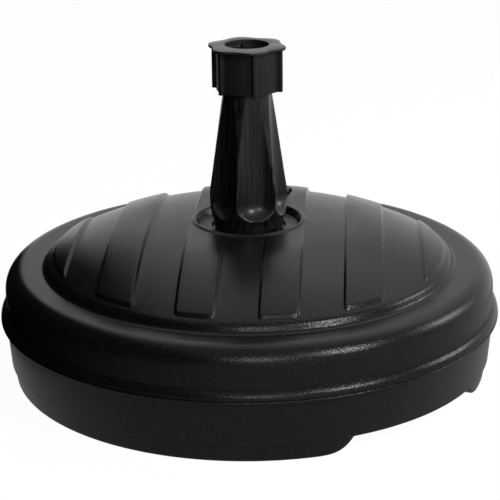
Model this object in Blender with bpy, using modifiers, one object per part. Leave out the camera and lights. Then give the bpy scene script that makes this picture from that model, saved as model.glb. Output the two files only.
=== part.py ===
"""Fillable parasol base: a domed tank in two shells, a fluted stem and a hand nut that clamps the pole.

Units are metres and +Z is up. The base stands on z = 0 with its axis on Z. The raised pads on
the deck run along Y, the front is at -Y, and angles round the base run from -Y towards +X.
"""
from math import acos, atan, atan2, ceil, cos, pi, radians, sin, tan

import bmesh
import bpy
from mathutils import Matrix, Vector

# General
GAP = 0.0003
FIT = 0.0004
WALL = 0.0035
EDGE_ROUND = 0.0008
CUT_REACH = 0.0300
WELD = 0.00003
MERGE = 0.00001
FINE_ARC_STEP = radians(20)
SMALL_ARC_STEP = radians(50)
SMALL_FILLET = 0.0040
SHELL_STEPS = 48
TUBE_STEPS = 32
SCREW_STEPS = 20

# The lip, where the two shells meet
LIP_RADIUS = 0.2250
LIP_TOP = 0.0645
LIP_ROUND = 0.0024
PARTING = 0.0579
LIP_BOTTOM = 0.0550

# The deck: a shallow dome, a dish round the stem, a step down to the rim
DOME_TOP = 0.1372
DOME_CURVE = 5.27
DOME_POWER = 3
DOME_RINGS = 6
DOME_START = 0.0600
DOME_END = 0.1720
DISH_RADIUS = 0.0464
DISH_RIM_ROUND = 0.0020
DISH_FLOOR = 0.1295
DISH_FLOOR_RADIUS = 0.0415
DECK_RADIUS = 0.1800
DECK_ROUND = 0.0050
SHELF_RADIUS = 0.1855
SHELF = 0.0990
SHOULDER = 0.1003
SHOULDER_ROUND = 0.0170
UPPER_WALL_TOP = 0.2192
UPPER_WALL_FOOT = 0.2198
INNER_ROUND = 0.0030

# The pads on the deck
PAD_HEIGHT = 0.0046
PAD_RIM = 0.0006
PAD_START = 0.0466
PAD_REACH = 0.1766
PAD_ROOT = 0.0015
PAD_EDGES = ((0.0182, 0.0504), (0.0873, 0.1205), (0.1550, 0.1900))

# The lower shell, its tongue inside the upper one, its feet and the two hand gaps between them
LOWER_WALL_TOP = 0.2204
LOWER_WALL_FOOT = 0.2170
FLOOR = 0.0160
FLOOR_ROUND = 0.0025
FOOT_RADIUS = 0.2135
FOOT_INNER = 0.1940
FOOT_DRAFT = 0.0030
FOOT_SETBACK = 0.0015
FOOT_ROUND = 0.0030
FOOT_HOLLOW_INNER = 0.1965
FOOT_HOLLOW_ROUND = 0.0015
HAND_GAP = radians(45)
HAND_GAP_HALF = radians(20.5)
TONGUE_TOP = 0.0650
TONGUE_INNER = 0.2125
TONGUE_SLOPE = 0.0050

# The well for the stem, and the plate at its foot
POLE_RADIUS = 0.0191
SPIGOT_RADIUS = 0.0230
WELL_RADIUS = SPIGOT_RADIUS + FIT
WELL_WALL = 0.0032
WELL_END = 0.0400
BOSS_WALL = 0.0035
BOSS_TOP = 0.0600
BOSS_ROUND = 0.0020
WELL_FLOOR = 0.0230
DRAIN_RADIUS = 0.0080

# The stem
STEM_FOOT_RADIUS = 0.0300
STEM_FLARE_RADIUS = 0.0318
STEM_FLARE = 0.1385
BULGE_FOOT_RADIUS = 0.0347
BULGE_FOOT = 0.1510
BULGE_RADIUS = 0.0353
BULGE_TOP = 0.1650
BULGE_ROUND = 0.0150
STEM_ROUND = 0.0080
STEM_NECK_RADIUS = 0.0212
STEM_NECK = 0.2555
THREAD_RADIUS = 0.0240
THREAD_FOOT = 0.2595
STEM_TOP = 0.2810
MOUTH_FOOT = 0.2620
MOUTH_RADIUS = 0.0224
STEM_FLOOR = 0.0070

# The six flutes of the stem
FLUTES = 6
FLUTE_TURN = radians(16.5)
FLUTE_RADIUS = 0.0220
FLUTE_END = 0.1630
FLUTE_TOP = 0.2580
FLUTE_FLOOR_LOW = 0.0226
FLUTE_FLOOR_HIGH = 0.0210
FLUTE_ARCS = 8

# The clamp: a split collet under a hexagonal hand nut
COLLET_FOOT = 0.2730
COLLAR_FOOT = 0.2868
COLLAR_RADIUS = 0.0239
COLLET_TOP = 0.2917
COLLET_SLACK = 0.0012
SLOTS = 6
SLOT_WIDTH = 0.0020
SLOT_TOP = 0.2888
SLOT_TURN = radians(17)
NUT_SIDES = 6
NUT_FOOT = 0.2557
NUT_TOP = 0.2967
NUT_PLATE = 0.0030
NUT_PLATE_ROOT = 0.0005
NUT_BORE = 0.0244
NUT_APOTHEM = 0.0272
NUT_TURN = radians(15.5)
RIB_RADIUS = 0.0323
RIB_HALF_WIDTH = 0.0017
RIB_ROUND = 0.0006
LOBE_RADIUS = 0.0332
LOBE_WAVE = 0.0019
LOBE_POINTS = 72

# The filler behind the stem, in its own frame on the slope of the dome
FILLER_RADIUS_OUT = 0.0880
SEAT_RADIUS = 0.0405
SEAT_DEPTH = 0.0015
NECK_BORE = 0.0240
NECK_TOP = -0.0022
NECK_END = -0.0140
SEAL_INNER = 0.0255
SEAL_OUTER = 0.0305
SEAL_HEIGHT = 0.0020
SEAL_ROUND = 0.0005
CAP_RADIUS = 0.0338
CAP_THICKNESS = 0.0045
CAP_CROWN_RADIUS = 0.0203
CAP_CROWN = 0.0006
CAP_ROUND = 0.0016
SKIRT_INNER = 0.0313
PLUG_RADIUS = 0.0234
PLUG_LENGTH = 0.0085
PLUG_WALL = 0.0030
PLUG_RECESS = 0.0010
GRIP_SIZE = (0.046, 0.007, 0.007)
GRIP_ROUND = 0.0020
GRIP_ROOT = 0.0020

# The screws that hold the stem
SCREWS = 3
SCREW_CIRCLE = 0.0145
SCREW_SHANK = 0.0018
SCREW_POINT = 0.0007
SCREW_TAPER = 0.0020
SCREW_HEAD = 0.0040
SCREW_HEAD_HEIGHT = 0.0024
SCREW_HEAD_ROUND = 0.0012
SCREW_TIP = 0.0290
SCREW_HOLE = SCREW_SHANK + GAP
COUNTERBORE = 0.0046
COUNTERBORE_TOP = 0.0192

for old in list(bpy.data.objects):
    bpy.data.objects.remove(old, do_unlink=True)

part_collection = bpy.data.collections.new("parasol_base")
cutter_collection = bpy.data.collections.new("cutters")
bpy.context.scene.collection.children.link(part_collection)
bpy.context.scene.collection.children.link(cutter_collection)


def plastic(name, shade, roughness):
    material = bpy.data.materials.new(name)
    material.use_nodes = True
    shader = material.node_tree.nodes["Principled BSDF"]
    shader.inputs["Base Color"].default_value = (shade, shade, shade, 1.0)
    shader.inputs["Roughness"].default_value = roughness
    return material


grained_plastic = plastic("grained_black_plastic", 0.018, 0.45)
smooth_plastic = plastic("smooth_black_plastic", 0.010, 0.28)
satin_plastic = plastic("satin_black_plastic", 0.014, 0.38)
seal_rubber = plastic("seal_rubber", 0.020, 0.70)
screw_steel = plastic("zinc_steel", 0.560, 0.35)
screw_steel.node_tree.nodes["Principled BSDF"].inputs["Metallic"].default_value = 1.0


def add_object(name, mesh, material=None):
    """A named piece with its material, or a cutter when it has none."""
    piece = bpy.data.objects.new(name, mesh)
    if material is None:
        cutter_collection.objects.link(piece)
        piece.hide_render = True
        piece.display_type = "WIRE"
    else:
        part_collection.objects.link(piece)
        mesh.materials.append(material)
    return piece


def round_corners(corners):
    """Corner points (radius, height, fillet) as a closed list of points with an arc at each fillet."""
    points = []
    count = len(corners)
    for i, corner in enumerate(corners):
        here = Vector(corner[:2])
        fillet = corner[2] if len(corner) > 2 else 0.0
        if fillet == 0.0:
            points.append(here)
            continue
        to_last = (Vector(corners[i - 1][:2]) - here).normalized()
        to_next = (Vector(corners[(i + 1) % count][:2]) - here).normalized()
        half = acos(max(-1.0, min(1.0, to_last.dot(to_next)))) / 2
        centre = here + (to_last + to_next).normalized() * (fillet / sin(half))
        start = here + to_last * (fillet / tan(half)) - centre
        end = here + to_next * (fillet / tan(half)) - centre
        angle = atan2(start.y, start.x)
        sweep = (atan2(end.y, end.x) - angle + pi) % (2 * pi) - pi
        arc_step = SMALL_ARC_STEP if fillet < SMALL_FILLET else FINE_ARC_STEP
        pieces = max(1, ceil(abs(sweep) / arc_step))
        for k in range(pieces + 1):
            turn = angle + sweep * k / pieces
            points.append(centre + Vector((cos(turn), sin(turn))) * fillet)
    return points


def turned(name, corners, material=None, steps=TUBE_STEPS):
    """A closed section, listed clockwise with its outer side running down, turned round Z."""
    outline = round_corners(corners)
    mesh = bpy.data.meshes.new(name)
    verts = [(p.x, 0.0, p.y) for p in outline]
    on_axis = [p.x < MERGE for p in outline]
    count = len(verts)
    edges = [(i, (i + 1) % count) for i in range(count) if not (on_axis[i] and on_axis[(i + 1) % count])]
    mesh.from_pydata(verts, edges, [])
    piece = add_object(name, mesh, material)
    screw = piece.modifiers.new("turn", "SCREW")
    screw.steps = steps
    screw.render_steps = steps
    screw.use_merge_vertices = True
    screw.merge_threshold = MERGE
    screw.use_smooth_shade = True
    return piece


def prism(name, outlines, low, high, material=None):
    """Flat outlines, listed anticlockwise, raised from low to high as one closed block each."""
    mesh = bpy.data.meshes.new(name)
    form = bmesh.new()
    for outline in outlines:
        face = form.faces.new([form.verts.new((x, y, low)) for x, y in outline])
        raised = bmesh.ops.extrude_face_region(form, geom=[face])
        top = [v for v in raised["geom"] if isinstance(v, bmesh.types.BMVert)]
        bmesh.ops.translate(form, verts=top, vec=(0.0, 0.0, high - low))
    bmesh.ops.recalc_face_normals(form, faces=form.faces)
    form.to_mesh(mesh)
    form.free()
    return add_object(name, mesh, material)


def rods(name, places, radius, low, high):
    """Upright round cutters at the given places."""
    mesh = bpy.data.meshes.new(name)
    form = bmesh.new()
    for x, y in places:
        middle = Matrix.Translation((x, y, (low + high) / 2))
        bmesh.ops.create_cone(form, cap_ends=True, segments=TUBE_STEPS, radius1=radius, radius2=radius,
                              depth=high - low, matrix=middle)
    form.to_mesh(mesh)
    form.free()
    return add_object(name, mesh)


def boolean(piece, tool, operation):
    step = piece.modifiers.new(tool.name, "BOOLEAN")
    step.operation = operation
    step.object = tool
    step.solver = "EXACT"


def weld(piece):
    """Joins points that the cuts left on top of each other."""
    join = piece.modifiers.new("weld", "WELD")
    join.merge_threshold = WELD
    return piece


def smooth_by_angle(piece):
    piece.data.shade_smooth()
    piece.data.set_sharp_from_angle(angle=radians(32))


def around(radius, turn):
    """A place at this radius, turned from the front towards the right."""
    return (radius * sin(turn), -radius * cos(turn))


def screw_places():
    return [around(SCREW_CIRCLE, 2 * pi * k / SCREWS) for k in range(SCREWS)]


def dome(radius):
    return DOME_TOP - DOME_CURVE * radius ** DOME_POWER


def dome_slope(radius):
    return DOME_POWER * DOME_CURVE * radius ** (DOME_POWER - 1)


def dome_points(start, end, lift):
    """Points along the dome from one radius to another, lifted off its surface."""
    radii = [start + (end - start) * i / DOME_RINGS for i in range(DOME_RINGS + 1)]
    return [(radius, dome(radius) + lift) for radius in radii]


# The filler's frame stands square on the dome, behind the stem
filler_frame = bpy.data.objects.new("filler_frame", None)
part_collection.objects.link(filler_frame)
filler_frame.location = (0.0, FILLER_RADIUS_OUT, dome(FILLER_RADIUS_OUT))
filler_frame.rotation_euler = (-atan(dome_slope(FILLER_RADIUS_OUT)), 0.0, 0.0)


def make_upper_shell():
    """Deck, dish, well tube, rolled rim, wall and lip in one thin section, with the pads raised on it."""
    well_outer = WELL_RADIUS + WELL_WALL
    inner_wall = UPPER_WALL_TOP - WALL
    section = [
        (WELL_RADIUS, WELL_END),
        (WELL_RADIUS, DISH_FLOOR, EDGE_ROUND),
        (DISH_FLOOR_RADIUS, DISH_FLOOR, INNER_ROUND),
        (DISH_RADIUS, dome(DISH_RADIUS), DISH_RIM_ROUND),
    ]
    section += dome_points(DOME_START, DOME_END, 0.0)
    section += [
        (DECK_RADIUS, dome(DECK_RADIUS), DECK_ROUND),
        (SHELF_RADIUS, SHELF, DECK_ROUND),
        (UPPER_WALL_TOP, SHOULDER, SHOULDER_ROUND),
        (UPPER_WALL_FOOT, LIP_TOP + GAP, EDGE_ROUND),
        (LIP_RADIUS, LIP_TOP, LIP_ROUND),
        (LIP_RADIUS, PARTING, EDGE_ROUND),
        (inner_wall, PARTING),
        (inner_wall, SHOULDER - WALL, SHOULDER_ROUND - WALL),
        (SHELF_RADIUS - WALL / 2, SHELF - WALL, INNER_ROUND),
        (DECK_RADIUS - WALL, dome(DECK_RADIUS) - WALL, INNER_ROUND),
    ]
    section += reversed(dome_points(DOME_START - WALL, DOME_END - WALL, -WALL))
    section += [
        (DISH_RADIUS + WALL, DISH_FLOOR),
        (DISH_FLOOR_RADIUS + WALL / 2, DISH_FLOOR - WALL),
        (well_outer, DISH_FLOOR - WALL),
        (well_outer, WELL_END),
    ]
    shell = turned("upper_shell", section, grained_plastic, SHELL_STEPS)

    pad_rim = dome(PAD_START) + PAD_RIM
    pad_section = [(radius, min(height, pad_rim)) for radius, height in dome_points(PAD_START, PAD_REACH, PAD_HEIGHT)]
    pad_section += reversed(dome_points(PAD_START, PAD_REACH, -PAD_ROOT))
    pads = turned("pad_layer", pad_section, None, SHELL_STEPS)
    strips = []
    for inner, outer in PAD_EDGES:
        for left, right in ((inner, outer), (-outer, -inner)):
            strips.append([(left, -LIP_RADIUS), (right, -LIP_RADIUS), (right, LIP_RADIUS), (left, LIP_RADIUS)])
    boolean(pads, prism("pad_strips", strips, SHELF, DOME_TOP + CUT_REACH), "INTERSECT")
    boolean(shell, pads, "UNION")

    neck = rods("filler_neck", [(0.0, 0.0)], NECK_BORE + WALL, NECK_END, NECK_TOP)
    seat = rods("filler_seat", [(0.0, 0.0)], SEAT_RADIUS, -SEAT_DEPTH, CUT_REACH)
    mouth = rods("filler_mouth", [(0.0, 0.0)], NECK_BORE, -CUT_REACH, CUT_REACH)
    for tool, operation in ((neck, "UNION"), (seat, "DIFFERENCE"), (mouth, "DIFFERENCE")):
        tool.parent = filler_frame
        boolean(shell, tool, operation)
    return shell


def hand_gaps(name, half_angle):
    """The two wedges, on opposite sides, that part the feet."""
    wedges = []
    for side in (0.0, pi):
        middle = HAND_GAP + side
        turns = (middle - half_angle, middle, middle + half_angle)
        inner = [around(FOOT_INNER - CUT_REACH, turn) for turn in turns]
        outer = [around(LIP_RADIUS + CUT_REACH, turn) for turn in turns]
        wedges.append(inner[::-1] + outer)
    return prism(name, wedges, -CUT_REACH, TONGUE_TOP)


def make_lower_shell():
    """Lip, wall, floor and central boss in one section, with two long hollow feet under the wall."""
    boss_inner = WELL_RADIUS + WELL_WALL + FIT
    boss_outer = boss_inner + BOSS_WALL
    tongue_outer = UPPER_WALL_TOP - WALL - FIT
    parting = PARTING - GAP
    section = [
        (TONGUE_INNER, TONGUE_TOP),
        (tongue_outer, TONGUE_TOP),
        (tongue_outer, parting),
        (LIP_RADIUS, parting, EDGE_ROUND),
        (LIP_RADIUS, LIP_BOTTOM, EDGE_ROUND),
        (LOWER_WALL_TOP, LIP_BOTTOM - GAP, EDGE_ROUND),
        (LOWER_WALL_FOOT, FLOOR, FLOOR_ROUND),
        (DRAIN_RADIUS, FLOOR),
        (DRAIN_RADIUS, WELL_FLOOR),
        (boss_inner, WELL_FLOOR),
        (boss_inner, BOSS_TOP),
        (boss_outer, BOSS_TOP),
        (boss_outer, FLOOR + WALL, BOSS_ROUND),
        (LOWER_WALL_FOOT - WALL, FLOOR + WALL, INNER_ROUND),
        (LOWER_WALL_TOP - WALL, LIP_BOTTOM - TONGUE_SLOPE),
        (TONGUE_INNER, LIP_BOTTOM),
    ]
    shell = turned("lower_shell", section, grained_plastic, SHELL_STEPS)

    foot_section = [
        (FOOT_INNER - FOOT_DRAFT, FLOOR + FOOT_SETBACK),
        (LOWER_WALL_FOOT - FOOT_SETBACK, FLOOR + FOOT_SETBACK),
        (FOOT_RADIUS, 0.0, FOOT_ROUND),
        (FOOT_INNER, 0.0, FOOT_ROUND),
    ]
    foot = turned("foot_ring", foot_section, None, SHELL_STEPS)
    boolean(foot, hand_gaps("hand_gaps", HAND_GAP_HALF), "DIFFERENCE")
    boolean(shell, foot, "UNION")

    hollow_top = FLOOR + WALL + BOSS_ROUND
    hollow_section = [
        (FOOT_HOLLOW_INNER, hollow_top),
        (FOOT_RADIUS - WALL, hollow_top),
        (FOOT_RADIUS - WALL, WALL, FOOT_HOLLOW_ROUND),
        (FOOT_INNER + WALL, WALL, FOOT_HOLLOW_ROUND),
    ]
    hollow = turned("foot_hollow", hollow_section, None, SHELL_STEPS)
    wall_angle = WALL / FOOT_RADIUS
    boolean(hollow, hand_gaps("foot_end_walls", HAND_GAP_HALF + wall_angle), "DIFFERENCE")
    boolean(shell, hollow, "DIFFERENCE")

    boolean(shell, rods("shell_screw_holes", screw_places(), SCREW_HOLE, 0.0, BOSS_TOP), "DIFFERENCE")
    boolean(shell, rods("counterbores", screw_places(), COUNTERBORE, 0.0, COUNTERBORE_TOP), "DIFFERENCE")
    return shell


def make_stem():
    """A pole tube with a tapered outside, six scooped flutes, a threaded neck and a cone in its mouth."""
    seat = DISH_FLOOR + GAP
    foot = WELL_FLOOR + GAP
    section = [
        (DRAIN_RADIUS, foot),
        (DRAIN_RADIUS, foot + STEM_FLOOR),
        (POLE_RADIUS, foot + STEM_FLOOR),
        (POLE_RADIUS, MOUTH_FOOT),
        (MOUTH_RADIUS, STEM_TOP),
        (THREAD_RADIUS, STEM_TOP, EDGE_ROUND),
        (THREAD_RADIUS, THREAD_FOOT),
        (STEM_NECK_RADIUS, STEM_NECK),
        (BULGE_RADIUS, BULGE_TOP, BULGE_ROUND),
        (BULGE_FOOT_RADIUS, BULGE_FOOT, STEM_ROUND),
        (STEM_FLARE_RADIUS, STEM_FLARE, STEM_ROUND),
        (STEM_FOOT_RADIUS, seat),
        (SPIGOT_RADIUS, seat),
        (SPIGOT_RADIUS, foot),
    ]
    stem = turned("stem_tube", section, smooth_plastic)

    reach = FLUTE_TOP - FLUTE_END
    flute_section = [(0.0, reach), (FLUTE_RADIUS, reach)]
    for i in range(FLUTE_ARCS + 1):
        turn = i * pi / 2 / FLUTE_ARCS
        flute_section.append((FLUTE_RADIUS * cos(turn), -FLUTE_RADIUS * sin(turn)))
    lean = atan((FLUTE_FLOOR_LOW - FLUTE_FLOOR_HIGH) / reach)
    for k in range(FLUTES):
        turn = FLUTE_TURN + 2 * pi * k / FLUTES
        flute = turned(f"flute_{k + 1}", flute_section)
        x, y = around(FLUTE_FLOOR_LOW + FLUTE_RADIUS, turn)
        flute.matrix_world = (Matrix.Translation((x, y, FLUTE_END)) @ Matrix.Rotation(turn, 4, "Z")
                              @ Matrix.Rotation(-lean, 4, "X"))
        boolean(stem, flute, "DIFFERENCE")

    boolean(stem, rods("stem_screw_holes", screw_places(), SCREW_HOLE, 0.0, BOSS_TOP), "DIFFERENCE")
    return stem


def make_screw(number, place):
    """A pan-head screw, driven up from below into the stem's floor."""
    head_top = COUNTERBORE_TOP - GAP
    head_foot = head_top - SCREW_HEAD_HEIGHT
    section = [
        (0.0, SCREW_TIP),
        (SCREW_POINT, SCREW_TIP),
        (SCREW_SHANK, SCREW_TIP - SCREW_TAPER),
        (SCREW_SHANK, head_top),
        (SCREW_HEAD, head_top),
        (SCREW_HEAD, head_foot, SCREW_HEAD_ROUND),
        (0.0, head_foot),
    ]
    screw = turned(f"stem_screw_{number}", section, screw_steel, SCREW_STEPS)
    screw.location = (*place, 0.0)


def make_collet():
    """A split ring whose cone is pushed into the stem's mouth and closes on the pole."""
    slope = (MOUTH_RADIUS - POLE_RADIUS) / (STEM_TOP - MOUTH_FOOT)
    cone_top, cone_foot = [POLE_RADIUS + slope * (z - MOUTH_FOOT) - COLLET_SLACK for z in (STEM_TOP, COLLET_FOOT)]
    section = [
        (POLE_RADIUS, COLLET_FOOT),
        (POLE_RADIUS, COLLET_TOP, EDGE_ROUND),
        (COLLAR_RADIUS, COLLET_TOP),
        (COLLAR_RADIUS, COLLAR_FOOT),
        (cone_top, COLLAR_FOOT),
        (cone_top, STEM_TOP),
        (cone_foot, COLLET_FOOT),
    ]
    collet = turned("clamp_collet", section, satin_plastic)
    half = SLOT_WIDTH / 2
    slots = []
    for k in range(SLOTS):
        along = Vector(around(1.0, SLOT_TURN + 2 * pi * k / SLOTS))
        side = Vector((-along.y, along.x)) * half
        inner = along * (POLE_RADIUS - WALL)
        outer = along * (COLLAR_RADIUS + WALL)
        slots.append([inner - side, outer - side, outer + side, inner + side])
    split = slots.pop(SLOTS // 2)
    boolean(collet, prism("collet_split", [split], COLLET_FOOT - WALL, COLLET_TOP + WALL), "DIFFERENCE")
    boolean(collet, prism("collet_slots", slots, COLLET_FOOT - WALL, SLOT_TOP), "DIFFERENCE")
    return collet


def make_nut():
    """A hexagonal hand nut with a rib on each corner and a thin lobed plate on top."""
    outline = []
    rib_root = (NUT_APOTHEM - RIB_HALF_WIDTH * sin(pi / NUT_SIDES)) / cos(pi / NUT_SIDES)
    for k in range(NUT_SIDES):
        out = Vector(around(1.0, NUT_TURN + 2 * pi * k / NUT_SIDES))
        side = Vector((-out.y, out.x))
        rib = ((rib_root, -RIB_HALF_WIDTH), (RIB_RADIUS - RIB_ROUND, -RIB_HALF_WIDTH),
               (RIB_RADIUS, -RIB_HALF_WIDTH + RIB_ROUND), (RIB_RADIUS, RIB_HALF_WIDTH - RIB_ROUND),
               (RIB_RADIUS - RIB_ROUND, RIB_HALF_WIDTH), (rib_root, RIB_HALF_WIDTH))
        outline += [out * reach + side * offset for reach, offset in rib]
    plate_foot = NUT_TOP - NUT_PLATE
    nut = prism("clamp_nut", [outline], NUT_FOOT, plate_foot + NUT_PLATE_ROOT, satin_plastic)
    lobes = []
    for i in range(LOBE_POINTS):
        turn = 2 * pi * i / LOBE_POINTS
        lobes.append(around(LOBE_RADIUS + LOBE_WAVE * cos(NUT_SIDES * turn), NUT_TURN + turn))
    boolean(nut, prism("nut_plate", [lobes], plate_foot, NUT_TOP), "UNION")
    boolean(nut, rods("nut_bore", [(0.0, 0.0)], NUT_BORE, NUT_FOOT - CUT_REACH, COLLET_TOP + GAP), "DIFFERENCE")
    boolean(nut, rods("nut_hole", [(0.0, 0.0)], POLE_RADIUS + GAP, NUT_FOOT, NUT_TOP + CUT_REACH), "DIFFERENCE")
    return nut


def make_cap_seal():
    """A flat rubber ring between the filler's seat and its cap."""
    low = -SEAT_DEPTH + GAP
    high = low + SEAL_HEIGHT
    section = [
        (SEAL_INNER, low, SEAL_ROUND),
        (SEAL_INNER, high, SEAL_ROUND),
        (SEAL_OUTER, high, SEAL_ROUND),
        (SEAL_OUTER, low, SEAL_ROUND),
    ]
    seal = turned("cap_seal", section, seal_rubber)
    seal.parent = filler_frame


def make_filler_cap():
    """A screw cap with a skirt round its seal, a hollow plug in the neck and a grip bar across the top."""
    skirt_foot = -SEAT_DEPTH + GAP
    under = skirt_foot + SEAL_HEIGHT + GAP
    top = under + CAP_THICKNESS
    plug_foot = under - PLUG_LENGTH
    section = [
        (0.0, top + CAP_CROWN),
        (CAP_CROWN_RADIUS, top + CAP_CROWN / 2),
        (CAP_RADIUS, top - CAP_CROWN / 2, CAP_ROUND),
        (CAP_RADIUS, skirt_foot, SEAL_ROUND),
        (SKIRT_INNER, skirt_foot),
        (SKIRT_INNER, under),
        (PLUG_RADIUS, under),
        (PLUG_RADIUS, plug_foot, EDGE_ROUND),
        (PLUG_RADIUS - PLUG_WALL, plug_foot),
        (PLUG_RADIUS - PLUG_WALL, under + PLUG_RECESS),
        (0.0, under + PLUG_RECESS),
    ]
    cap = turned("filler_cap", section, satin_plastic)
    cap.parent = filler_frame
    length, width, height = GRIP_SIZE
    bar = [(-length / 2, -width / 2), (length / 2, -width / 2), (length / 2, width / 2), (-length / 2, width / 2)]
    grip = prism("cap_grip", [bar], top - GRIP_ROOT, top + height)
    edge = grip.modifiers.new("round", "BEVEL")
    edge.width = GRIP_ROUND
    edge.segments = 2
    grip.parent = filler_frame
    boolean(cap, grip, "UNION")
    return cap


weld(make_upper_shell())
weld(make_lower_shell())
weld(make_stem())
for index, screw_place in enumerate(screw_places(), 1):
    make_screw(index, screw_place)
weld(make_collet())
smooth_by_angle(weld(make_nut()))
make_cap_seal()
weld(make_filler_cap())
bpy.context.view_layer.update()
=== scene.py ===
"""Looks of a fillable parasol base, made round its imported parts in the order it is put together.

Metres, +Z up, the axis on Z and the front at -Y. Angles run from the front towards the right.
"""
from math import acos, atan2, ceil, cos, pi, radians, sin, tan

import bmesh
import bpy
import numpy as np
from mathutils import Matrix, Vector
from mathutils.geometry import delaunay_2d_cdt


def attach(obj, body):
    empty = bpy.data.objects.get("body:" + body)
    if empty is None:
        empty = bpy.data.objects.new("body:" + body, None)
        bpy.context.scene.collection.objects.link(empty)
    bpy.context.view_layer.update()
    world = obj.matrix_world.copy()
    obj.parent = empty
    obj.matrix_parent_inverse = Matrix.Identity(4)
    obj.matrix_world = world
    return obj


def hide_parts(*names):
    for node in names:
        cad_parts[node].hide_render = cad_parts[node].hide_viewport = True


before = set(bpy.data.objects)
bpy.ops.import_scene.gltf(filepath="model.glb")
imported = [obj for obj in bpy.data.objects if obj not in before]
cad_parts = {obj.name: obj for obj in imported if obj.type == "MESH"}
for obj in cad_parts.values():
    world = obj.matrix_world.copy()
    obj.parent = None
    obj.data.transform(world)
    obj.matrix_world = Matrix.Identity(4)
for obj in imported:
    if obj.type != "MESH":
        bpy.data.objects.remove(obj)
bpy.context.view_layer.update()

# Lower shell. The lower half of the tank, injection moulded in black polypropylene with a fine
# spark-eroded grain. A tongue inside its rim is welded into the upper shell. It stands on two long
# hollow feet, and the gaps between their ends let fingers under the wall.
LIP_RADIUS = 0.2250
LIP_BOTTOM = 0.0552
PARTING = 0.0579
PARTING_GAP = 0.0003
TONGUE_INNER = 0.2125
TONGUE_OUTER = 0.2153
TONGUE_FOOT = 0.0550
TONGUE_TOP = 0.0650
LOWER_WALL_TOP = (0.2204, LIP_BOTTOM - 0.0005)
LOWER_WALL_FOOT = (0.2173, 0.0158)
FLOOR = 0.0160
FLOOR_RADIUS = 0.1880
FOOT_ROOT_RADIUS = 0.2150
FOOT_RADIUS = 0.2135
FOOT_INNER = 0.1940
FOOT_INNER_DRAFT = 0.0024
FOOT_END_RUN = 0.0420
FOOT_END_SWEEP = 4.5
FOOT_END_STEPS = 17
GAP_MIDDLES = (radians(46.25), radians(226.25))
GAP_HALF = radians(19.25)
SHELL_COLUMNS = 240


def around(radius, turn):
    return (radius * np.sin(turn), -radius * np.cos(turn))


def rounded(corners, closed=False, arc=radians(12)):
    """Corners (across, up, fillet) as points, with an arc for each corner that has a fillet."""
    points = []
    count = len(corners)
    for i, corner in enumerate(corners):
        here = Vector(corner[:2])
        fillet = corner[2] if len(corner) > 2 else 0.0
        if fillet == 0.0 or (not closed and i in (0, count - 1)):
            points.append(here)
            continue
        to_last = (Vector(corners[i - 1][:2]) - here).normalized()
        to_next = (Vector(corners[(i + 1) % count][:2]) - here).normalized()
        half = acos(max(-1.0, min(1.0, to_last.dot(to_next)))) / 2
        middle = here + (to_last + to_next).normalized() * (fillet / sin(half))
        start = here + to_last * (fillet / tan(half)) - middle
        end = here + to_next * (fillet / tan(half)) - middle
        angle = atan2(start.y, start.x)
        sweep = (atan2(end.y, end.x) - angle + pi) % (2 * pi) - pi
        pieces = max(2, ceil(abs(sweep) / arc))
        for k in range(pieces + 1):
            turn = angle + sweep * k / pieces
            points.append(middle + Vector((cos(turn), sin(turn))) * fillet)
    return np.array(points)


def even_turns(count):
    return np.arange(count) * 2 * pi / count


def skin_faces(rows, columns, wrap=True):
    faces = []
    for i in range(rows - 1):
        here, above = i * columns, (i + 1) * columns
        for j in range(columns if wrap else columns - 1):
            k = (j + 1) % columns
            faces.append((here + j, here + k, above + k, above + j))
    return faces


def rings(rows, turns, wrap=True):
    """A skin through rows of (radius, height), each a number or one for each turn."""
    points = []
    for radius, height in rows:
        x, y = around(radius, turns)
        points.append(np.column_stack((x, y, np.broadcast_to(height, turns.shape))))
    return np.vstack(points), skin_faces(len(points), len(turns), wrap)


def circle(radius, turns, middle=(0.0, 0.0)):
    x, y = around(radius, turns)
    return np.column_stack((x + middle[0], y + middle[1]))


def inside_line(line, x, y):
    """Whether each place lies inside a closed line."""
    inside = np.zeros(x.shape, bool)
    for (x0, y0), (x1, y1) in zip(line, np.roll(line, -1, axis=0)):
        if y0 != y1:
            beside = x < x0 + (y - y0) * (x1 - x0) / (y1 - y0)
            inside ^= ((y0 > y) != (y1 > y)) & beside
    return inside


def plan_sheet(edge, holes, height, creases=(), fill=()):
    """A triangulated sheet inside a closed line, with holes, creases and loose points in it.

    A crease is a line and whether it is closed. The height is a number, or gives one for each place.
    """
    points, edges = [], []
    for line, closed in [(edge, True), *((hole, True) for hole in holes), *creases]:
        first = len(points)
        points.extend(Vector(p) for p in line)
        edges.extend((i, i + 1) for i in range(first, len(points) - 1))
        if closed:
            edges.append((len(points) - 1, first))
    points.extend(Vector(p) for p in fill)
    plan, _, triangles, *_ = delaunay_2d_cdt(points, edges, [], 0, 1e-7)
    plan = np.array([tuple(p) for p in plan])
    triangles = np.array(triangles)
    centres = plan[triangles].mean(axis=1).T
    keep = inside_line(edge, *centres)
    for hole in holes:
        keep &= ~inside_line(hole, *centres)
    used, packed = np.unique(triangles[keep], return_inverse=True)
    plan = plan[used]
    up = height(*plan.T) if callable(height) else np.full(len(plan), height)
    return np.column_stack((plan, up)), [tuple(t) for t in packed.reshape(-1, 3)]


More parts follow.
